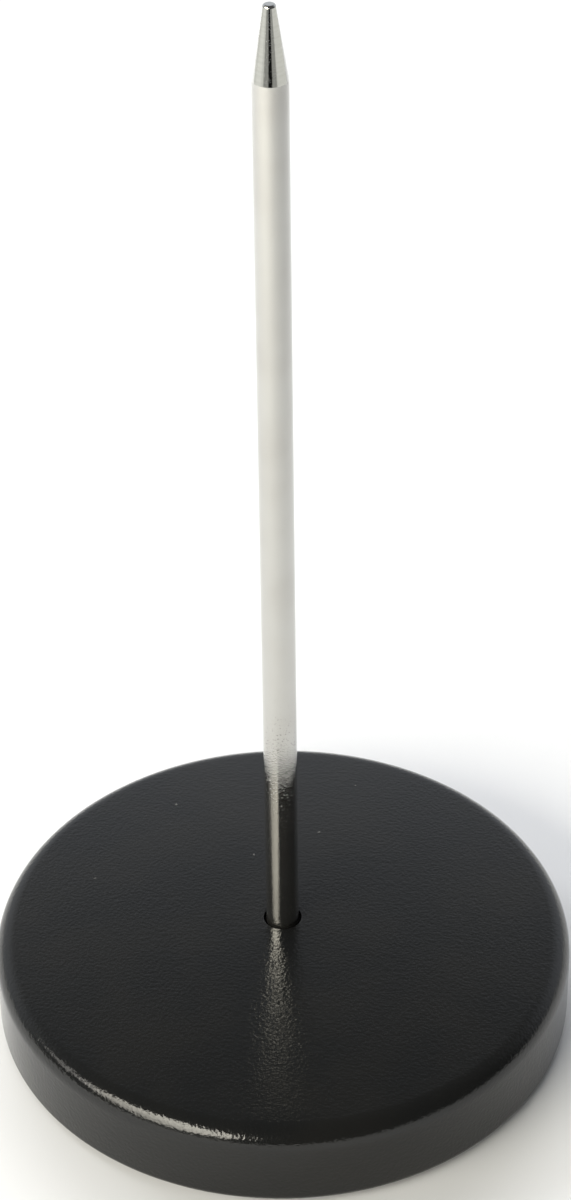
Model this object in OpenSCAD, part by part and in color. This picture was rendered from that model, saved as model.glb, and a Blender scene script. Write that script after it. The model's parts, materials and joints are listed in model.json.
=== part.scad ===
// Desk bill spike: a blunt-pointed plated wire standing upright in a weighted round base.
// Sizes are in millimetres. The table is the plane z = 0, and the wire stands on the Z axis.

/* [Base cover] */
// Outer diameter of the pressed cover
base_d = 80; // [60:1:120]
// Height of the cover from its turned-in lip to the level of its rim
rim_h = 12.5; // [11.5:0.5:20]
// Rise of the crowned top from the rim to the centre
crown = 1.85; // [0.5:0.05:4]
// Outer radius of the rounded top edge
edge_r = 3; // [2:0.25:5]
// Thickness of the pressed sheet
sheet_t = 0.8; // [0.6:0.1:1.2]
// Inner radius of the bend at the lower edge
bend_r = 0.4; // [0.3:0.1:1]
// Width of the lip that is turned in under the ballast
lip_w = 4; // [3:0.5:8]
// Radial clearance of the cover's hole around the thread that passes through it
cover_hole_gap = 0.1; // [0.05:0.05:0.5]
// Width of the softened corner around the cover's hole
hole_soften = 0.2; // [0.1:0.05:0.4]

/* [Spike] */
// Height of the tip above the table
overall_h = 155; // [100:1:220]
// Diameter of the wire
wire_d = 4.5; // [4:0.1:4.7]
// Length of the ground point
point_l = 9.5; // [5:0.5:20]
// Diameter of the flat on the blunted tip
tip_flat_d = 0.9; // [0.4:0.1:1.2]
// Radius that blends the flat into the point
tip_round_r = 0.35; // [0.2:0.05:0.5]

/* [Fixings] */
// Major diameter of the thread rolled on the wire's tail
thread_d = 5; // [5:0.1:6]
// Radial clearance of the nuts on the thread
thread_gap = 0.05; // [0.02:0.01:0.1]
// Width of the nuts across their flats
nut_af = 8; // [8:0.5:10]
// Height of the thin nuts
nut_h = 2.7; // [2.2:0.1:3.2]
// Outer diameter of the plain washer
washer_d = 10; // [9.5:0.5:14]
// Thickness of the plain washer
washer_t = 1; // [0.8:0.1:1.6]
// Outer diameter of the split lock washer
lock_washer_d = 9.2; // [8.5:0.1:9.5]
// Thickness of the lock washer, tightened flat
lock_washer_t = 1.2; // [1:0.1:1.6]
// Width of the lock washer's split
lock_split_w = 0.8; // [0.5:0.1:1.5]
// Radial clearance of the washers and the ballast around the thread
bolt_gap = 0.15; // [0.1:0.05:0.4]
// Length of thread that stands out below the lower nut
tail_out = 0.6; // [0.3:0.1:1]

/* [Ballast and foot] */
// Clearance between the ballast and the inside of the cover
ballast_gap = 0.3; // [0.2:0.05:0.5]
// Clearance of the hexagonal pocket around the upper nut
pocket_gap = 0.15; // [0.1:0.05:0.3]
// Depth of the upper nut below the middle of the ballast's top
pocket_drop = 0.5; // [0.5:0.1:0.8]
// Clearance around the washer, for a socket on the lower nut
recess_gap = 2; // [1.5:0.25:4]
// Thickness of the rubber foot
foot_t = 1.5; // [1.4:0.1:3]
// Clearance between the rubber foot and the lip around it
foot_gap = 0.5; // [0.3:0.1:1]
// Clearance between the rubber foot and the thread's end
tail_gap = 0.4; // [0.2:0.1:0.8]
// Chamfer on the lower edge of the rubber foot
foot_chamfer = 0.3; // [0.2:0.1:0.6]

/* [Hidden] */
$fn = 96;

// Facets of the crown's large circle, of which the base shows a short arc
crown_facets = 720;

// Extra length that makes a cut pass clear through a face
clear_cut = 1;

// Radii of the base, the wire and the thread
base_r = base_d / 2;
wire_r = wire_d / 2;
thread_r = thread_d / 2;

// The cover stands on the rubber foot, its lip lapping under the ballast
lip_z = foot_t - sheet_t;
lip_r = base_r - lip_w;
edge_z = lip_z + rim_h - edge_r;
top_z = lip_z + rim_h + crown;

// The crown is one sphere, tangent to the rounding of the top edge
edge_axis_r = base_r - edge_r;
crown_to_edge = (edge_axis_r * edge_axis_r + crown * crown) / (2 * crown);
crown_z = top_z - edge_r - crown_to_edge;

// Levels up the axis, from the thread's end to its run-out, which stops level with the cover's top
ballast_z = foot_t;
ballast_top_z = top_z - sheet_t - ballast_gap;
tail_z = ballast_z + tail_gap;
lower_nut_z = tail_z + tail_out;
lock_washer_z = lower_nut_z + nut_h;
washer_z = lock_washer_z + lock_washer_t;
web_z = washer_z + washer_t;
upper_nut_z = ballast_top_z - pocket_drop - nut_h;
thread_top_z = upper_nut_z + nut_h;
runout_z = top_z;

// Bores that surround the thread
cover_hole_r = thread_r + cover_hole_gap;
bolt_hole_r = thread_r + bolt_gap;
nut_bore_r = thread_r + thread_gap;
recess_r = washer_d / 2 + recess_gap;

// The point's sides are tangent to the rounding of its tip
point_z = overall_h - point_l;
tip_axis_r = tip_flat_d / 2;
tip_axis_z = overall_h - tip_round_r;
tip_run = wire_r - tip_axis_r;
tip_rise = tip_axis_z - point_z;
tip_reach = sqrt(tip_run * tip_run + tip_rise * tip_rise);
tip_turn = atan2(tip_run, tip_rise) - asin(tip_round_r / tip_reach);

// Half section of the crowned disc, moved in by inset, down to floor_z with a rounded lower corner
module disc_section(inset, floor_z, corner_r) {
    wall_r = base_r - inset;
    shoulder_r = edge_axis_r * (crown_to_edge + edge_r - inset) / crown_to_edge;
    intersection() {
        translate([0, crown_z]) circle(crown_to_edge + edge_r - inset, $fn = crown_facets);
        translate([0, floor_z + corner_r]) square([shoulder_r, top_z - floor_z]);
    }
    translate([edge_axis_r, edge_z]) circle(edge_r - inset);
    translate([0, floor_z + corner_r]) square([wall_r, edge_z - floor_z - corner_r]);
    translate([0, floor_z]) square([wall_r - corner_r, edge_z - floor_z]);
    translate([wall_r - corner_r, floor_z + corner_r]) circle(corner_r);
}

// Thin hexagonal nut standing on z = 0, chamfered on both faces
module thin_nut() {
    corner_r = nut_af / 2 / cos(30);
    chamfer_h = (corner_r - nut_af / 2) * tan(30);
    difference() {
        intersection() {
            cylinder(r = corner_r, h = nut_h, $fn = 6);
            rotate_extrude()
                polygon([[0, 0], [nut_af / 2, 0], [corner_r, chamfer_h], [corner_r, nut_h - chamfer_h],
                         [nut_af / 2, nut_h], [0, nut_h]]);
        }
        translate([0, 0, -clear_cut]) cylinder(r = nut_bore_r, h = nut_h + 2 * clear_cut);
    }
}

// Flat ring standing on z = 0
module ring(outer_r, inner_r, height) {
    difference() {
        cylinder(r = outer_r, h = height);
        translate([0, 0, -clear_cut]) cylinder(r = inner_r, h = height + 2 * clear_cut);
    }
}

// Plated wire with a ground, blunted point and a rolled thread on its tail, drawn down from its tip
module spike() color("gainsboro")
    translate([0, 0, tip_axis_z]) rotate_extrude() {
        polygon([[0, tail_z - tip_axis_z],
                 [wire_r, tail_z - tip_axis_z],
                 [thread_r, tail_z + thread_r - wire_r - tip_axis_z],
                 [thread_r, thread_top_z - tip_axis_z],
                 [wire_r, runout_z - tip_axis_z],
                 [wire_r, point_z - tip_axis_z],
                 [tip_axis_r + tip_round_r * cos(tip_turn), tip_round_r * sin(tip_turn)],
                 [tip_axis_r, tip_round_r],
                 [0, tip_round_r]]);
        intersection() {
            translate([tip_axis_r, 0]) circle(tip_round_r);
            translate([tip_axis_r, -tip_round_r]) square(2 * tip_round_r);
        }
    }

// Pressed sheet cover with a crowned top, its lower edge turned in under the ballast
module base_cover() color("black")
    rotate_extrude()
        difference() {
            disc_section(0, lip_z, bend_r + sheet_t);
            disc_section(sheet_t, lip_z + sheet_t, bend_r);
            translate([0, lip_z - clear_cut]) square([lip_r, sheet_t + 2 * clear_cut]);
            polygon([[0, edge_z], [cover_hole_r, edge_z], [cover_hole_r, top_z - hole_soften],
                     [cover_hole_r + hole_soften + clear_cut, top_z + clear_cut], [0, top_z + clear_cut]]);
        }

// Cast weight that fills the cover, with a nut pocket on top and a recess for the lower fixings
module ballast_disc() color("dimgray")
    difference() {
        rotate_extrude() disc_section(sheet_t + ballast_gap, ballast_z, bend_r);
        translate([0, 0, ballast_z - clear_cut]) cylinder(r = recess_r, h = web_z - ballast_z + clear_cut);
        translate([0, 0, web_z - clear_cut])
            cylinder(r = bolt_hole_r, h = upper_nut_z - web_z + 2 * clear_cut);
        translate([0, 0, upper_nut_z])
            cylinder(r = (nut_af / 2 + pocket_gap) / cos(30), h = nut_h + pocket_drop + clear_cut, $fn = 6);
    }

// Nut that the thread runs out into, held from turning by its pocket
module upper_nut() color("lightgray") translate([0, 0, upper_nut_z]) thin_nut();

// Washer against the roof of the ballast's recess
module plain_washer() color("silver") translate([0, 0, washer_z]) ring(washer_d / 2, bolt_hole_r, washer_t);

// Split spring washer, tightened flat
module lock_washer() color("darkgray") translate([0, 0, lock_washer_z])
    difference() {
        ring(lock_washer_d / 2, bolt_hole_r, lock_washer_t);
        translate([lock_washer_d / 2, 0, lock_washer_t / 2]) rotate([-30, 0, 0])
            cube([lock_washer_d, lock_split_w, 4 * lock_washer_t], center = true);
    }

// Nut that clamps the ballast between the washers and the upper nut
module lower_nut() color("lightgray") translate([0, 0, lower_nut_z]) thin_nut();

// Die-cut rubber disc under the ballast, on which the whole object stands
module rubber_foot() color("darkslategray") {
    foot_r = lip_r - foot_gap;
    rotate_extrude()
        polygon([[0, 0], [foot_r - foot_chamfer, 0], [foot_r, foot_chamfer], [foot_r, foot_t], [0, foot_t]]);
}

spike();
base_cover();
ballast_disc();
upper_nut();
plain_washer();
lock_washer();
lower_nut();
rubber_foot();
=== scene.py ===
"""Dresses the desk bill spike: a plated, blunt-pointed wire in a weighted, black-coated round base.

Lengths are in metres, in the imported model's frame: the table is z = 0 and the wire stands on the Z axis.
"""
from __future__ import annotations

import json
import logging
import math
from collections.abc import Mapping, Sequence
from dataclasses import dataclass, field
from enum import Enum

import bpy
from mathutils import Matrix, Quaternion, Vector


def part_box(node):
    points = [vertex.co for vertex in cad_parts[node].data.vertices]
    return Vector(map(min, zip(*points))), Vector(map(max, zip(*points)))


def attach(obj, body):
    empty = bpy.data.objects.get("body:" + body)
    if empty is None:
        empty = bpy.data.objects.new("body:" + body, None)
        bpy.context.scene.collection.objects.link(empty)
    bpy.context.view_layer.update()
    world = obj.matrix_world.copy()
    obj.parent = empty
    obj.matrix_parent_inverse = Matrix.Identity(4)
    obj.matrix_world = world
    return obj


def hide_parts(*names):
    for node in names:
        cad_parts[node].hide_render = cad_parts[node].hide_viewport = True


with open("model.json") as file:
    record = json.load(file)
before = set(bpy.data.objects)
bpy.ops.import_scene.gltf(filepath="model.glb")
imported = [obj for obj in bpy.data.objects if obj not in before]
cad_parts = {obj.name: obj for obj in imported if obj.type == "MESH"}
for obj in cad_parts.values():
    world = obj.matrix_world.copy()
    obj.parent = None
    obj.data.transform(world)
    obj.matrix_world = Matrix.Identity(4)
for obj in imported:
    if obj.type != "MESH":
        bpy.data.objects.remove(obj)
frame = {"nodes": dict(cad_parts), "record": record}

LOG = logging.getLogger("bill_spike")
MM = 0.001
QUARTER = math.pi / 2
Colour = tuple[float, float, float]
Point = tuple[float, float, float]
Span = tuple[float, float]
WARM_WHITE: Colour = (1.0, 0.96, 0.84)


class Body(Enum):
    """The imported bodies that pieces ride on."""

    ROOT = "root"


class Slot(Enum):
    """The record's material slots that new pieces take."""

    NICKEL = "nickel_plate"
    COAT = "black_coat"
    RUBBER = "foot_rubber"


class Signal:
    """A value in a node tree. Python's operators on it add Math nodes."""

    def __init__(self, sheet: NodeSheet, socket: bpy.types.NodeSocket) -> None:
        """Keeps the tree's sheet and the socket that gives the value."""
        self.sheet = sheet
        self.socket = socket

    def _math(self, operation: str, first: Value, second: Value) -> Signal:
        """The result of one Math node on two values."""
        return self.sheet.add("ShaderNodeMath", {"operation": operation}, {0: first, 1: second})

    def __add__(self, other: Value) -> Signal:
        """Sum with another value."""
        return self._math("ADD", self, other)

    def __radd__(self, other: Value) -> Signal:
        """Sum with a number on the left."""
        return self._math("ADD", other, self)

    def __sub__(self, other: Value) -> Signal:
        """Difference from another value."""
        return self._math("SUBTRACT", self, other)

    def __rsub__(self, other: Value) -> Signal:
        """A number on the left less this value."""
        return self._math("SUBTRACT", other, self)

    def __mul__(self, other: Value) -> Signal:
        """Product with another value."""
        return self._math("MULTIPLY", self, other)

    def __rmul__(self, other: Value) -> Signal:
        """Product with a number on the left."""
        return self._math("MULTIPLY", other, self)

    def __lt__(self, other: Value) -> Signal:
        """1 where this value is below the other, and 0 elsewhere."""
        return self._math("LESS_THAN", self, other)

    def fade(self, low: float, high: float) -> Signal:
        """Eases from 0 to 1.

        Args:
            low: The value that gives 0.
            high: The value that gives 1; below low, the fade runs the other way.

        Returns:
            The eased value.
        """
        if low > high:
            return 1.0 - self.fade(high, low)
        settings = {"interpolation_type": "SMOOTHSTEP"}
        sockets = {"Value": self, "From Min": low, "From Max": high}
        return self.sheet.add("ShaderNodeMapRange", settings, sockets)

    def within(self, start: Span, end: Span) -> Signal:
        """Eases from 0 to 1 over the start's span, and back to 0 over the end's."""
        return self.fade(*start) * self.fade(end[1], end[0])


Value = Signal | float | Sequence[float]


class NodeSheet:
    """A node tree, filled by one method that adds any node."""

    def __init__(self, tree: bpy.types.NodeTree) -> None:
        """Clears the tree."""
        self.tree = tree
        tree.nodes.clear()

    def add(self, kind: str, settings: Mapping[str, object] | None = None,
            sockets: Mapping[str | int, Value] | None = None, output: str | int = 0) -> Signal:
        """Adds a node, sets it, and fills its sockets.

        Args:
            kind: The node's type.
            settings: Its own settings, which are set first.
            sockets: Values or signals for its inputs, by name or number.
            output: The output that is wanted, by name or number.

        Returns:
            That output.
        """
        node = self.tree.nodes.new(kind)
        for name, value in (settings or {}).items():
            setattr(node, name, value)
        for name, value in (sockets or {}).items():
            socket = node.inputs[name]
            if isinstance(value, Signal):
                self.tree.links.new(value.socket, socket)
            elif socket.type == "RGBA":
                socket.default_value = (*value, 1.0)
            else:
                socket.default_value = value
        return Signal(self, node.outputs[output] if node.outputs else node.inputs[0])

    def place(self) -> Signal:
        """The point on the piece, in metres."""
        return self.add("ShaderNodeTexCoord", output="Object")

    def parts(self, vector: Signal) -> tuple[Signal, Signal, Signal]:
        """A vector's X, Y and Z."""
        node = self.add("ShaderNodeSeparateXYZ", sockets={"Vector": vector}).socket.node
        return tuple(Signal(self, node.outputs[axis]) for axis in "XYZ")

    def stretched(self, vector: Signal, scale: Point) -> Signal:
        """Scales a vector by a number on each axis."""
        return self.add("ShaderNodeMapping", sockets={"Vector": vector, "Scale": scale})

    def noise(self, vector: Signal, grain: float, detail: float = 2.0, roughness: float = 0.5) -> Signal:
        """Smooth noise from 0 to 1 in grains of that size, with finer layers, each a share of the last."""
        sockets = {"Vector": vector, "Scale": 1.0 / grain, "Detail": detail, "Roughness": roughness}
        return self.add("ShaderNodeTexNoise", sockets=sockets)

    def bent(self, vector: Signal, grain: float, reach: float) -> Signal:
        """Shifts a vector by noise, so that what is read with it is crooked.

        Args:
            vector: The vector.
            grain: The size of the noise's grains.
            reach: The longest shift along an axis.

        Returns:
            The shifted vector.
        """
        noise_sockets = {"Vector": vector, "Scale": 1.0 / grain}
        shift = self.add("ShaderNodeTexNoise", sockets=noise_sockets, output="Color")
        sockets = {0: shift, 1: (reach,) * 3, 2: vector}
        return self.add("ShaderNodeVectorMath", {"operation": "MULTIPLY_ADD"}, sockets)

    def cells(self, vector: Signal, spacing: float) -> tuple[Signal, Signal]:
        """Irregular cells.

        Args:
            vector: Where they are read.
            spacing: The mean distance between their middles.

        Returns:
            The distance from the nearest middle, as a share of the spacing, and each cell's random colour.
        """
        sockets = {"Vector": vector, "Scale": 1.0 / spacing}
        node = self.add("ShaderNodeTexVoronoi", sockets=sockets).socket.node
        return Signal(self, node.outputs["Distance"]), Signal(self, node.outputs["Color"])

    def flecks(self, vector: Signal, spacing: float, size: float, share: float, core: float = 0.6) -> Signal:
        """Small scattered flecks.

        Args:
            vector: Where they are read.
            spacing: The mean distance between the places where one may lie.
            size: A fleck's radius.
            share: The share of those places that has one.
            core: The share of a fleck's radius within which it is even.

        Returns:
            1 on a fleck, fading to 0 around it.
        """
        away, colour = self.cells(vector, spacing)
        chance = self.parts(colour)[0]
        return away.fade(size / spacing, core * size / spacing) * (chance < share)

    def blend(self, share: Value, low: Signal | Colour, high: Signal | Colour) -> Signal:
        """A mix of two colours, from the low one at a share of 0 to the high one at 1."""
        return self.add("ShaderNodeMix", {"data_type": "RGBA"}, {0: share, 6: low, 7: high}, output=2)

    def bump(self, height: Signal, depth: float, under: Signal | None = None) -> Signal:
        """Turns a height into a normal.

        Args:
            height: The height, from 0 to 1.
            depth: What a height of 1 stands for, in metres.
            under: The normal of another relief below it.

        Returns:
            The normal.
        """
        sockets: dict[str | int, Value] = {"Height": height, "Distance": depth, "Strength": 1.0}
        if under is not None:
            sockets["Normal"] = under
        return self.add("ShaderNodeBump", sockets=sockets)

    def surface(self, sockets: Mapping[str | int, Value]) -> None:
        """Ends the tree in a Principled shader with these inputs."""
        shader = self.add("ShaderNodeBsdfPrincipled", sockets=sockets)
        self.add("ShaderNodeOutputMaterial", sockets={"Surface": shader})


def new_sheet(name: str) -> tuple[bpy.types.Material, NodeSheet]:
    """Makes an empty material.

    Args:
        name: The material's name.

    Returns:
        The material, and the sheet of its tree.
    """
    material = bpy.data.materials.new(name)
    material.use_nodes = True
    return material, NodeSheet(material.node_tree)


@dataclass(frozen=True)
class PowderCoat:
    """Semi-gloss black powder coat with fine orange peel, smudges and a little dust."""

    black: Colour = (0.0070, 0.0074, 0.0076)
    mottle: Colour = (0.0090, 0.0090, 0.0086)
    dust: Colour = (0.075, 0.075, 0.07)
    shine: float = 0.44
    gloss: float = 0.07
    grit: float = 0.09
    smudge: float = 0.05
    smudge_grain: float = 14 * MM
    smudge_levels: Span = (0.35, 0.7)
    peel_grain: float = 0.45 * MM
    peel_depth: float = 0.042 * MM
    fine_grain: float = 0.25 * MM
    fine_depth: float = 0.013 * MM
    fleck_gap: float = 5.5 * MM
    fleck_size: float = 0.22 * MM
    fleck_share: float = 0.35
    fleck_bend: float = 0.5 * MM
    fleck_bend_grain: float = 0.35 * MM
    fleck_matt: float = 0.4

    def material(self) -> bpy.types.Material:
        """Builds the finish.

        Returns:
            The material.
        """
        material, sheet = new_sheet("black_powder_coat")
        place = sheet.place()
        cloud = sheet.noise(place, self.smudge_grain, detail=4.0)
        crooked = sheet.bent(place, self.fleck_bend_grain, self.fleck_bend)
        flecks = sheet.flecks(crooked, self.fleck_gap, self.fleck_size, self.fleck_share)
        paint = sheet.blend(cloud.fade(*self.smudge_levels), self.black, self.mottle)
        peel = sheet.bump(sheet.noise(place, self.peel_grain, detail=1.0), self.peel_depth)
        fine = sheet.noise(place, self.fine_grain, detail=1.0)
        sheet.surface({
            "Base Color": sheet.blend(flecks, paint, self.dust),
            "Roughness": self.gloss + self.smudge * cloud + self.grit * fine + self.fleck_matt * flecks,
            "Specular IOR Level": self.shine,
            "Normal": sheet.bump(fine, self.fine_depth, peel),
        })
        return material


@dataclass(frozen=True)
class SatinNickel:
    """Satin nickel plate on drawn wire, finely faceted, with scattered specks."""

    nickel: Colour = (0.57, 0.565, 0.54)
    dull: Colour = (0.53, 0.52, 0.495)
    metal: float = 0.985
    satin: float = 0.07
    cloud_satin: float = 0.05
    cloud_grain: float = 6 * MM
    cloud_levels: Span = (0.35, 0.75)
    facet: float = 0.15 * MM
    facet_slope: float = 0.04
    speck_gap: float = 0.36 * MM
    speck: float = 0.16 * MM
    speck_share: float = 0.55
    speck_slope: float = 0.055

    def material(self) -> bpy.types.Material:
        """Builds the finish.

        Returns:
            The material.
        """
        material, sheet = new_sheet("satin_nickel")
        place = sheet.place()
        cloud = sheet.noise(place, self.cloud_grain, detail=4.0)
        specks = sheet.flecks(place, self.speck_gap, self.speck, self.speck_share, core=0.0)
        cones, _ = sheet.cells(place, self.facet)
        facets = sheet.bump(cones, self.facet_slope * self.facet)
        sheet.surface({
            "Base Color": sheet.blend(cloud.fade(*self.cloud_levels), self.nickel, self.dull),
            "Metallic": self.metal,
            "Roughness": self.satin + self.cloud_satin * (cloud - 0.5),
            "Normal": sheet.bump(specks, self.speck_slope * self.speck, facets),
        })
        return material


@dataclass(frozen=True)
class PolishedPoint:
    """Bright plate on the ground point, with fine pits and faint rings from the grinding, whose low parts
    are painted darker as shade.
    """

    bright: Colour = (0.70, 0.70, 0.675)
    shadow: Colour = (0.66, 0.66, 0.635)
    gloss: float = 0.035
    ring_gloss: float = 0.03
    ring_gap: float = 0.3 * MM
    ring_stretch: Point = (0.04, 0.04, 1.0)
    ring_levels: Span = (0.3, 0.7)
    ring_depth: float = 0.00012 * MM
    pit: float = 0.2 * MM
    pit_levels: Span = (0.58, 0.74)
    pit_depth: float = 0.003 * MM

    def material(self) -> bpy.types.Material:
        """Builds the finish.

        Returns:
            The material.
        """
        material, sheet = new_sheet("polished_nickel")
        place = sheet.place()
        # The rings' pattern is the grinding's; their low parts take the shadow colour, which is painted
        # shade in the grooves.
        rings = sheet.noise(sheet.stretched(place, self.ring_stretch), self.ring_gap, detail=2.0)
        pits = sheet.noise(place, self.pit, detail=1.0).fade(*self.pit_levels)
        sheet.surface({
            "Base Color": sheet.blend(rings.fade(*self.ring_levels), self.shadow, self.bright),
            "Metallic": 1.0,
            "Roughness": self.gloss + self.ring_gloss * rings,
            "Normal": sheet.bump(rings, self.ring_depth, sheet.bump(pits, self.pit_depth)),
        })
        return material


@dataclass(frozen=True)
class SheetRubber:
    """Matt die-cut sheet rubber with a fine pebble and a trace of desk dust."""

    black: Colour = (0.022, 0.022, 0.023)
    grey: Colour = (0.045, 0.045, 0.046)
    dust: Colour = (0.25, 0.24, 0.22)
    matt: float = 0.72
    cloud_matt: float = 0.12
    cloud_grain: float = 11 * MM
    cloud_levels: Span = (0.3, 0.75)
    pebble: float = 0.55 * MM
    pebble_depth: float = 0.05 * MM
    fleck_gap: float = 3 * MM
    fleck_size: float = 0.12 * MM
    fleck_share: float = 0.25

    def material(self) -> bpy.types.Material:
        """Builds the finish.

        Returns:
            The material.
        """
        material, sheet = new_sheet("sheet_rubber")
        place = sheet.place()
        cloud = sheet.noise(place, self.cloud_grain, detail=5.0)
        pebbles = sheet.noise(place, self.pebble, detail=2.0)
        flecks = sheet.flecks(place, self.fleck_gap, self.fleck_size, self.fleck_share)
        rubber = sheet.blend(cloud.fade(*self.cloud_levels), self.black, self.grey)
        sheet.surface({
            "Base Color": sheet.blend(flecks, rubber, self.dust),
            "Roughness": self.matt + self.cloud_matt * cloud,
            "Normal": sheet.bump(pebbles, self.pebble_depth),
        })
        return material


@dataclass(frozen=True)
class CastIron:
    """Grey iron as it leaves a sand mould, with a trace of rust."""

    grey: Colour = (0.115, 0.112, 0.108)
    rust: Colour = (0.16, 0.10, 0.06)
    rust_levels: Span = (0.55, 0.8)
    metal: float = 0.55
    metal_loss: float = 0.4
    matt: float = 0.55
    cloud_matt: float = 0.3
    cloud_grain: float = 9 * MM
    sand: float = 0.6 * MM
    sand_depth: float = 0.12 * MM

    def material(self) -> bpy.types.Material:
        """Builds the finish.

        Returns:
            The material.
        """
        material, sheet = new_sheet("cast_iron")
        place = sheet.place()
        cloud = sheet.noise(place, self.cloud_grain, detail=6.0, roughness=0.65)
        grains = sheet.noise(place, self.sand, detail=4.0, roughness=0.6)
        sheet.surface({
            "Base Color": sheet.blend(cloud.fade(*self.rust_levels), self.grey, self.rust),
            "Metallic": self.metal - self.metal_loss * cloud,
            "Roughness": self.matt + self.cloud_matt * cloud,
            "Normal": sheet.bump(grains, self.sand_depth),
        })
        return material


@dataclass(frozen=True)
class PlatedSteel:
    """Steel fixings, tumbled and plated or oiled."""

    name: str
    light: Colour
    dark: Colour
    gloss: float
    scratch: float = 0.15 * MM
    scratch_stretch: Point = (1.0, 0.25, 0.6)
    scratch_depth: float = 0.004 * MM
    scratch_matt: float = 0.15
    cloud_grain: float = 2.5 * MM
    cloud_levels: Span = (0.3, 0.75)

    def material(self) -> bpy.types.Material:
        """Builds the finish.

        Returns:
            The material.
        """
        material, sheet = new_sheet(self.name)
        place = sheet.place()
        cloud = sheet.noise(place, self.cloud_grain, detail=4.0)
        marks = sheet.noise(sheet.stretched(place, self.scratch_stretch), self.scratch, detail=3.0)
        sheet.surface({
            "Base Color": sheet.blend(cloud.fade(*self.cloud_levels), self.light, self.dark),
            "Metallic": 1.0,
            "Roughness": self.gloss + self.scratch_matt * marks,
            "Normal": sheet.bump(marks, self.scratch_depth),
        })
        return material


class SectionPen:
    """Draws a half section in the XZ plane with edit-mode operators, and turns it round the Z axis."""

    MERGE = 0.0005 * MM
    CREASE_DEG = 6.0

    def __init__(self, name: str, radius: float, height: float) -> None:
        """Starts the section with one point.

        Args:
            name: The piece's name.
            radius: The point's distance from the axis.
            height: The point's height.
        """
        bpy.ops.object.select_all(action="DESELECT")
        bpy.ops.mesh.primitive_plane_add(size=MM)
        self.piece = bpy.context.object
        self.piece.name = name
        self.piece.data.name = name
        bpy.ops.object.mode_set(mode="EDIT")
        bpy.ops.mesh.select_all(action="SELECT")
        bpy.ops.mesh.merge(type="CENTER")
        bpy.ops.transform.translate(value=(radius, 0.0, height))
        self.radius = radius
        self.height = height

    def line(self, radius: float, height: float) -> None:
        """Draws a straight stretch to a point.

        Args:
            radius: The point's distance from the axis.
            height: The point's height.
        """
        step = (radius - self.radius, 0.0, height - self.height)
        bpy.ops.mesh.extrude_region_move(TRANSFORM_OT_translate={"value": step})
        self.radius = radius
        self.height = height

    def arc(self, radius: float, height: float, turn: float, steps: int) -> None:
        """Draws an arc about a centre.

        Args:
            radius: The centre's distance from the axis.
            height: The centre's height.
            turn: The angle in radians, positive from outwards to upwards.
            steps: The number of chords.
        """
        bpy.ops.mesh.spin(steps=steps, angle=turn, center=(radius, 0.0, height), axis=(0.0, 1.0, 0.0))
        out, up = self.radius - radius, self.height - height
        self.radius = radius + out * math.cos(turn) - up * math.sin(turn)
        self.height = height + out * math.sin(turn) + up * math.cos(turn)

    def turned(self, steps: int) -> bpy.types.Object:
        """Turns the section into a closed piece.

        Args:
            steps: The number of steps round the axis.

        Returns:
            The piece.
        """
        bpy.ops.mesh.select_all(action="SELECT")
        bpy.ops.mesh.remove_doubles(threshold=self.MERGE)
        bpy.ops.mesh.spin(steps=steps, angle=math.tau, center=(0.0, 0.0, 0.0), axis=(0.0, 0.0, 1.0))
        bpy.ops.mesh.select_all(action="SELECT")
        bpy.ops.mesh.remove_doubles(threshold=self.MERGE)
        bpy.ops.mesh.normals_make_consistent(inside=False)
        bpy.ops.object.mode_set(mode="OBJECT")
        bpy.ops.object.shade_smooth_by_angle(angle=math.radians(self.CREASE_DEG))
        return self.piece


def settle(piece: bpy.types.Object, node: str, slot: Slot, *materials: bpy.types.Material) -> None:
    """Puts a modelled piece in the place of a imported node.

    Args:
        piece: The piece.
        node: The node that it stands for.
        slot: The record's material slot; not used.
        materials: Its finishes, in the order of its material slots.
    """
    for material in materials:
        piece.data.materials.append(material)
    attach(piece, Body.ROOT.value)
    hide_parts(node)
    LOG.info("%s stands for %s: %d faces", piece.name, node, len(piece.data.polygons))


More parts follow.
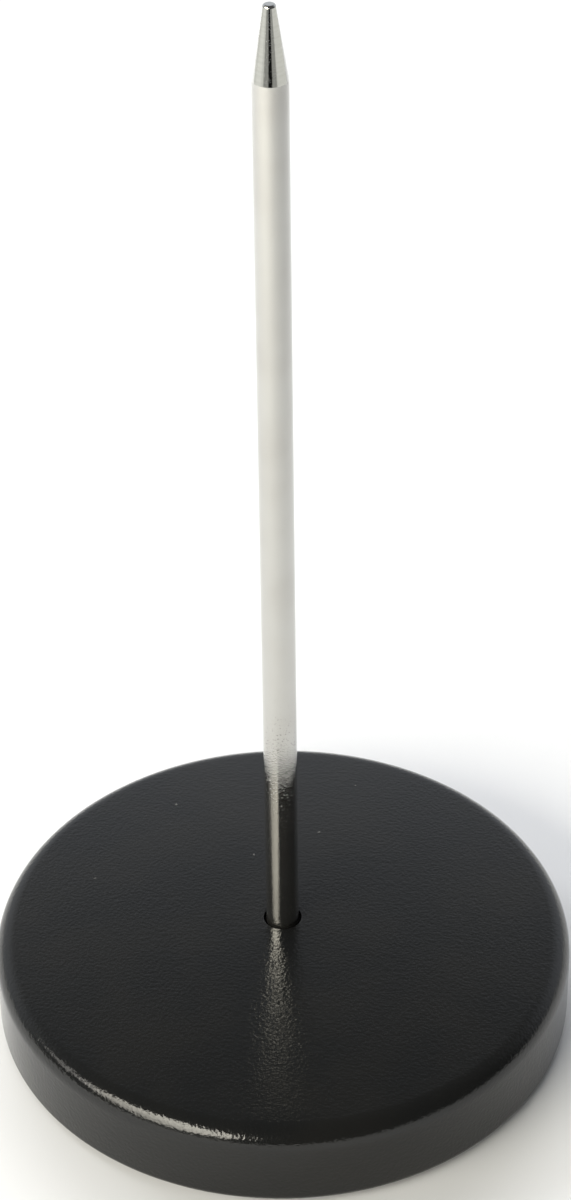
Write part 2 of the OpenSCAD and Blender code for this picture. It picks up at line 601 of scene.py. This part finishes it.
@dataclass
class CoverShell:
    """The pressed cover, with a crowned top, a rounded edge and a lip turned in under the ballast."""

    coat: PowderCoat = field(default_factory=PowderCoat)
    crown: float = 1.85 * MM
    edge_r: float = 3 * MM
    sheet_t: float = 0.8 * MM
    bend_r: float = 0.4 * MM
    lip_w: float = 4 * MM
    hole_r: float = 2.6 * MM
    hole_round: float = 0.2 * MM
    corner_steps: int = 20
    crown_steps: int = 24
    steps: int = 256

    def build(self) -> bpy.types.Object:
        """Models the cover, from its hole over the outside to the lip and back along the inside.

        Returns:
            The piece.
        """
        low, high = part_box("base_cover")
        base_r, lip_z = high.x, low.z
        axis_r = base_r - self.edge_r
        to_edge = (axis_r * axis_r + self.crown * self.crown) / (2 * self.crown)
        outer, inner = to_edge + self.edge_r, to_edge + self.edge_r - self.sheet_t
        round_r = self.hole_r + self.hole_round
        top_z = high.z + self.dip(outer, round_r)
        crown_z = top_z - outer
        edge_z = top_z - self.crown - self.edge_r
        round_z = high.z - self.hole_round
        lip_r = base_r - self.lip_w
        lip_top_z = lip_z + self.sheet_t
        wall_in = base_r - self.sheet_t
        bend_axis_r = wall_in - self.bend_r
        bend_z = lip_top_z + self.bend_r
        shoulder = math.asin(axis_r / to_edge)

        pen = SectionPen("base_cover_shell", self.hole_r, crown_z + inner - self.dip(inner, self.hole_r))
        pen.line(self.hole_r, round_z)
        pen.arc(round_r, round_z, -QUARTER, self.corner_steps)
        pen.arc(0.0, crown_z, math.asin(round_r / outer) - shoulder, self.crown_steps)
        pen.arc(axis_r, edge_z, shoulder - QUARTER, self.crown_steps)
        pen.line(base_r, bend_z)
        pen.arc(bend_axis_r, bend_z, -QUARTER, self.corner_steps)
        pen.line(lip_r, lip_z)
        pen.line(lip_r, lip_top_z)
        pen.line(bend_axis_r, lip_top_z)
        pen.arc(bend_axis_r, bend_z, QUARTER, self.corner_steps)
        pen.line(wall_in, edge_z)
        pen.arc(axis_r, edge_z, QUARTER - shoulder, self.crown_steps)
        pen.arc(0.0, crown_z, shoulder - math.asin(self.hole_r / inner), self.crown_steps)
        piece = pen.turned(self.steps)
        settle(piece, "base_cover", Slot.COAT, self.coat.material())
        return piece

    @staticmethod
    def dip(sphere_r: float, radius: float) -> float:
        """How far a sphere falls away from its top, at a radius from its axis."""
        return sphere_r - math.sqrt(sphere_r * sphere_r - radius * radius)


@dataclass
class SpikeWire:
    """The plated wire, from the thread on its tail to its blunted point."""

    satin: SatinNickel = field(default_factory=SatinNickel)
    polish: PolishedPoint = field(default_factory=PolishedPoint)
    point_l: float = 9.5 * MM
    tip_flat_r: float = 0.45 * MM
    tip_round: float = 0.35 * MM
    tip_steps: int = 24
    runout_l: float = 1.6 * MM
    steps: int = 128

    def build(self) -> bpy.types.Object:
        """Models the wire, from the thread's end to the tip.

        Returns:
            The piece.
        """
        low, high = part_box("spike")
        shank = next(mount for mount in frame["record"]["mounts"] if mount["name"] == "spike_shank")
        wire_r = shank["dims"]["r_mm"] * MM
        thread_r = high.x
        point_z = high.z - self.point_l
        runout_z = point_z - shank["dims"]["length_mm"] * MM
        tip_z = high.z - self.tip_round
        run, rise = wire_r - self.tip_flat_r, tip_z - point_z
        lean = math.atan2(run, rise) - math.asin(self.tip_round / math.hypot(run, rise))

        pen = SectionPen("spike_wire", 0.0, low.z)
        pen.line(wire_r, low.z)
        pen.line(thread_r, low.z + thread_r - wire_r)
        pen.line(thread_r, runout_z - self.runout_l)
        pen.line(wire_r, runout_z)
        pen.line(wire_r, point_z)
        pen.line(self.tip_flat_r + self.tip_round * math.cos(lean), tip_z + self.tip_round * math.sin(lean))
        pen.arc(self.tip_flat_r, tip_z, QUARTER - lean, self.tip_steps)
        pen.line(0.0, high.z)
        piece = pen.turned(self.steps)
        settle(piece, "spike", Slot.NICKEL, self.satin.material(), self.polish.material())
        for face in piece.data.polygons:
            face.material_index = int(face.center.z > point_z)
        return piece


@dataclass
class RubberFoot:
    """The die-cut rubber disc that the object stands on."""

    rubber: SheetRubber = field(default_factory=SheetRubber)
    edge_round: float = 0.3 * MM
    edge_steps: int = 20
    steps: int = 192

    def build(self) -> bpy.types.Object:
        """Models the foot.

        Returns:
            The piece.
        """
        low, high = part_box("rubber_foot")
        foot_r = high.x
        pen = SectionPen("rubber_foot_disc", 0.0, low.z)
        pen.line(foot_r - self.edge_round, low.z)
        pen.arc(foot_r - self.edge_round, low.z + self.edge_round, QUARTER, self.edge_steps)
        pen.line(foot_r, high.z)
        pen.line(0.0, high.z)
        piece = pen.turned(self.steps)
        settle(piece, "rubber_foot", Slot.RUBBER, self.rubber.material())
        return piece


@dataclass
class Fixings:
    """The ballast and the nuts and washers that clamp it, hidden inside the cover."""

    iron: CastIron = field(default_factory=CastIron)
    zinc: PlatedSteel = PlatedSteel("zinc_plate", (0.62, 0.64, 0.67), (0.50, 0.52, 0.56), 0.24)
    spring: PlatedSteel = PlatedSteel("oiled_spring_steel", (0.17, 0.165, 0.16), (0.10, 0.10, 0.11), 0.30)

    def dress(self) -> None:
        """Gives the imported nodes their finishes."""
        zinc = self.zinc.material()
        finishes = {
            "ballast_disc": self.iron.material(),
            "upper_nut": zinc,
            "lower_nut": zinc,
            "plain_washer": zinc,
            "lock_washer": self.spring.material(),
        }
        for node, material in finishes.items():
            materials = frame["nodes"][node].data.materials
            materials.clear()
            materials.append(material)
            LOG.info("%s keeps its solid, in %s", node, material.name)


@dataclass(frozen=True)
class Panel:
    """A soft oval light panel.

    Its ramp is how much brighter its right end, seen from behind it, and its top are than its middle.
    """

    name: str
    place: Point
    size: Span
    power: float
    aim: Point = (0.0, 0.0, 0.0)
    colour: Colour = (1.0, 1.0, 1.0)
    mirrored: bool = False
    roll_deg: float = 0.0
    ramp: Span = (0.0, 0.0)

    def build(self, lit: bpy.types.Object | None = None) -> bpy.types.Object:
        """Hangs the panel, which shows in reflections only where it is mirrored.

        Args:
            lit: The one piece that it lights; without it, it lights all.

        Returns:
            The light.
        """
        bpy.ops.object.light_add(type="AREA", location=self.place)
        light = bpy.context.object
        light.name = self.name
        facing = (Vector(self.place) - Vector(self.aim)).to_track_quat("Z", "Y")
        roll = Quaternion((0.0, 0.0, 1.0), math.radians(self.roll_deg))
        light.rotation_euler = (facing @ roll).to_euler()
        light.data.shape = "ELLIPSE"
        light.data.size, light.data.size_y = self.size
        light.data.energy = self.power
        light.data.color = self.colour
        light.visible_camera = False
        light.visible_glossy = self.mirrored
        if any(self.ramp):
            self.grade(light)
        if lit is not None:
            lit_alone = bpy.data.collections.new(self.name)
            lit_alone.objects.link(lit)
            light.light_linking.receiver_collection = lit_alone
        return light

    def grade(self, light: bpy.types.Object) -> None:
        """Ramps the panel's brightness from side to side and from bottom to top.

        Args:
            light: The panel's light.
        """
        light.data.use_nodes = True
        sheet = NodeSheet(light.data.node_tree)
        to_right, to_top = self.ramp
        # Across and up run from 0 to 1 over the panel, so its middle keeps a glow of 1
        across, up, _ = sheet.parts(sheet.add("ShaderNodeNewGeometry", output="Parametric"))
        glow = 1.0 + 2.0 * to_right * (across - 0.5) + 2.0 * to_top * (up - 0.5)
        emission = sheet.add("ShaderNodeEmission", sockets={"Strength": glow})
        sheet.add("ShaderNodeOutputLight", sockets={"Surface": emission})


@dataclass
class Studio:
    """A pale floor in a dim room, with a softbox at the front left, weaker lights and a low self-lit ring
    that only reflections show: a painted reflection, with painted shade at its front and sides.
    """

    floor_r: float = 4.0
    floor_steps: int = 96
    floor_colour: Colour = (0.75, 0.755, 0.77)
    floor_matt: float = 0.9
    floor_shine: float = 0.2
    haze_in: float = 0.13
    haze_out: float = 0.36
    veil_z: float = 0.2 * MM
    fill_strength: float = 0.25
    fill_spread_deg: float = 120.0
    fill_colour: Colour = (0.93, 1.0, 0.98)
    softbox: Panel = Panel("softbox", (-0.438, -0.438, 0.323), (0.68, 0.42), 6.4, colour=WARM_WHITE,
                           mirrored=True, roll_deg=-15.0, ramp=(0.3, 0.6))
    strip: Panel = Panel("strip_light", (-0.614, -0.108, 0.318), (0.36, 0.12), 0.35, colour=(1.0, 0.97, 0.9),
                         mirrored=True)
    side_panel: Panel = Panel("left_panel", (-0.6, 0.45, 0.6), (0.4, 0.3), 2.5, aim=(-0.05, 0.02, 0.0))
    back_panel: Panel = Panel("back_panel", (0.0, 0.55, 0.4), (0.9, 0.4), 4.6, aim=(0.0, 0.25, 0.0))
    wire_light: Panel = Panel("wire_light", (-0.417, -0.241, 0.528), (0.40, 0.25), 2.2, aim=(0.0, 0.0, 0.02),
                              colour=WARM_WHITE, mirrored=True)
    ring_in: float = 0.45
    ring_out: float = 0.90
    ring_h: float = 0.05
    ring_z: float = 1 * MM
    ring_steps: int = 96
    ring_colour: Colour = (1.0, 1.0, 0.94)
    ring_glow: float = 0.76
    ring_gleam: float = 0.15
    ring_shade: float = 0.42
    ring_least: float = 0.01
    # Turns round the ring, from its front towards its right
    gleam_deg: tuple[Span, Span] = ((-105.0, -85.0), (-62.0, -50.0))
    shade_deg: tuple[Span, Span] = ((-46.0, -36.0), (34.0, 46.0))
    dark_deg: tuple[Span, Span] = ((-15.0, -8.0), (9.0, 15.0))
    room: Colour = (0.08, 0.08, 0.08)
    backdrop: Colour = (0.66, 0.69, 0.74)
    backdrop_back: Span = (-0.1, 0.65)
    backdrop_up: Span = (0.92, 0.40)
    seen_room: Colour = (1.0, 1.0, 1.0)

    def floor(self) -> bpy.types.Object:
        """Lays the floor.

        Returns:
            The floor.
        """
        bpy.ops.object.select_all(action="DESELECT")
        bpy.ops.mesh.primitive_circle_add(vertices=self.floor_steps, radius=self.floor_r, fill_type="NGON")
        floor = bpy.context.object
        floor.name = "studio_floor"
        material, sheet = new_sheet("pale_floor")
        sheet.surface({
            "Base Color": self.floor_colour,
            "Roughness": self.floor_matt,
            "Specular IOR Level": self.floor_shine,
        })
        floor.data.materials.append(material)
        return floor

    def far_floor(self) -> bpy.types.Object:
        """Lays a veil over the floor that fades into the room's pale colour far from the object.

        Returns:
            The veil, which the camera alone sees.
        """
        bpy.ops.object.select_all(action="DESELECT")
        bpy.ops.mesh.primitive_circle_add(vertices=self.floor_steps, radius=self.floor_r, fill_type="NGON",
                                          location=(0.0, 0.0, self.veil_z))
        veil = bpy.context.object
        veil.name = "far_floor"
        material, sheet = new_sheet("pale_distance")
        material.cycles.emission_sampling = "NONE"
        away = sheet.add("ShaderNodeVectorMath", {"operation": "LENGTH"}, {0: sheet.place()}, output="Value")
        haze = away.fade(self.haze_in, self.haze_out)
        clear = sheet.add("ShaderNodeBsdfTransparent")
        pale = sheet.add("ShaderNodeEmission", sockets={"Color": self.seen_room})
        mixed = sheet.add("ShaderNodeMixShader", sockets={0: haze, 1: clear, 2: pale})
        sheet.add("ShaderNodeOutputMaterial", sockets={"Surface": mixed})
        veil.data.materials.append(material)
        veil.visible_glossy = False
        veil.visible_diffuse = False
        veil.visible_transmission = False
        veil.visible_shadow = False
        return veil

    def lights(self, wire: bpy.types.Object) -> None:
        """Hangs the soft light from above, the panels around, and one panel that lights the wire alone.

        Args:
            wire: The wire.
        """
        bpy.ops.object.light_add(type="SUN")
        fill = bpy.context.object
        fill.name = "overhead_fill"
        fill.data.energy = self.fill_strength
        fill.data.angle = math.radians(self.fill_spread_deg)
        fill.data.color = self.fill_colour
        fill.visible_glossy = False
        for panel in (self.softbox, self.strip, self.side_panel, self.back_panel):
            panel.build()
        self.wire_light.build(wire)

    def reflection_glow(self) -> bpy.types.Object:
        """Lays a shallow self-lit ring round the object, which the polished point mirrors: a painted
        reflection of a bright room, darkened at the front and sides as painted shade.

        Returns:
            The ring, which only reflections show.
        """
        bpy.ops.object.select_all(action="DESELECT")
        middle = (0.0, 0.0, self.ring_z + self.ring_h / 2)
        bpy.ops.mesh.primitive_cone_add(vertices=self.ring_steps, radius1=self.ring_in,
                                        radius2=self.ring_out, depth=self.ring_h,
                                        end_fill_type="NOTHING", location=middle)
        ring = bpy.context.object
        ring.name = "reflection_glow_ring"
        material, sheet = new_sheet("reflection_glow")
        material.cycles.emission_sampling = "NONE"
        right, back, _ = sheet.parts(sheet.place())
        turn = sheet.add("ShaderNodeMath", {"operation": "ARCTAN2"}, {0: right, 1: -1.0 * back})
        degrees = turn * math.degrees(1.0)
        # The glow round the ring is painted light: a brighter gleam at the left, painted shade at both sides
        # and a painted dark patch at the front, seen only in reflections.
        gleam = self.ring_gleam * degrees.within(*self.gleam_deg)
        shade = self.ring_shade * degrees.within(*self.shade_deg)
        dark = degrees.within(*self.dark_deg)
        glow = (self.ring_glow + gleam - shade) * (1.0 - dark) + self.ring_least
        light = sheet.add("ShaderNodeEmission", sockets={"Color": self.ring_colour, "Strength": glow})
        sheet.add("ShaderNodeOutputMaterial", sockets={"Surface": light})
        ring.data.materials.append(material)
        ring.visible_camera = False
        ring.visible_diffuse = False
        ring.visible_shadow = False
        return ring

    def surroundings(self) -> None:
        """Colours the room: dim in front and above, with a lighter backdrop behind, and seen as white."""
        world = bpy.data.worlds.new("studio_room")
        world.use_nodes = True
        bpy.context.scene.world = world
        sheet = NodeSheet(world.node_tree)
        _, back, up = sheet.parts(sheet.add("ShaderNodeTexCoord", output="Generated"))
        share = back.fade(*self.backdrop_back) * up.fade(*self.backdrop_up)
        room = sheet.blend(share, self.room, self.backdrop)
        seen = sheet.add("ShaderNodeLightPath", output="Is Camera Ray")
        sky = sheet.add("ShaderNodeBackground", sockets={"Color": sheet.blend(seen, room, self.seen_room)})
        sheet.add("ShaderNodeOutputWorld", sockets={"Surface": sky})

    def build(self, wire: bpy.types.Object) -> None:
        """Sets up the floor, the lights and the room, with plain colours in the picture.

        Args:
            wire: The wire, which has a light of its own.
        """
        self.floor()
        self.far_floor()
        self.lights(wire)
        self.reflection_glow()
        self.surroundings()
        bpy.context.scene.view_settings.view_transform = "Standard"
        LOG.info("studio: floor, six lights, reflector and room")


@dataclass
class PhotoView:
    """The camera, where the photograph was taken from."""

    rise_deg: float = 37.18
    roll_deg: float = -0.75
    distance: float = 422 * MM
    aim: Point = (0.97 * MM, 0.0, 70.2 * MM)
    focal_px: float = 3273.0
    frame_h_px: float = 1200.0
    sensor: float = 36.0
    nearest: float = 10 * MM

    def build(self) -> bpy.types.Object:
        """Places the camera.

        Returns:
            The camera.
        """
        rise = math.radians(self.rise_deg)
        away = Vector((0.0, -math.cos(rise), math.sin(rise)))
        bpy.ops.object.camera_add(location=Vector(self.aim) + away * self.distance)
        camera = bpy.context.object
        camera.name = "photo_camera"
        camera.rotation_mode = "ZYX"
        camera.rotation_euler = (QUARTER - rise, 0.0, math.radians(self.roll_deg))
        camera.data.sensor_width = self.sensor
        camera.data.lens = self.focal_px * self.sensor / self.frame_h_px
        camera.data.clip_start = self.nearest
        bpy.context.scene.camera = camera
        LOG.info("camera: %.1f mm lens, %.0f mm away", camera.data.lens, self.distance / MM)
        return camera


def main() -> None:
    """Builds the pieces in order."""
    logging.basicConfig(level=logging.INFO, format="%(name)s: %(message)s")
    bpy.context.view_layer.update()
    PhotoView().build()
    CoverShell().build()
    wire = SpikeWire().build()
    RubberFoot().build()
    Fixings().dress()
    Studio().build(wire)


if __name__ == "__main__":
    main()
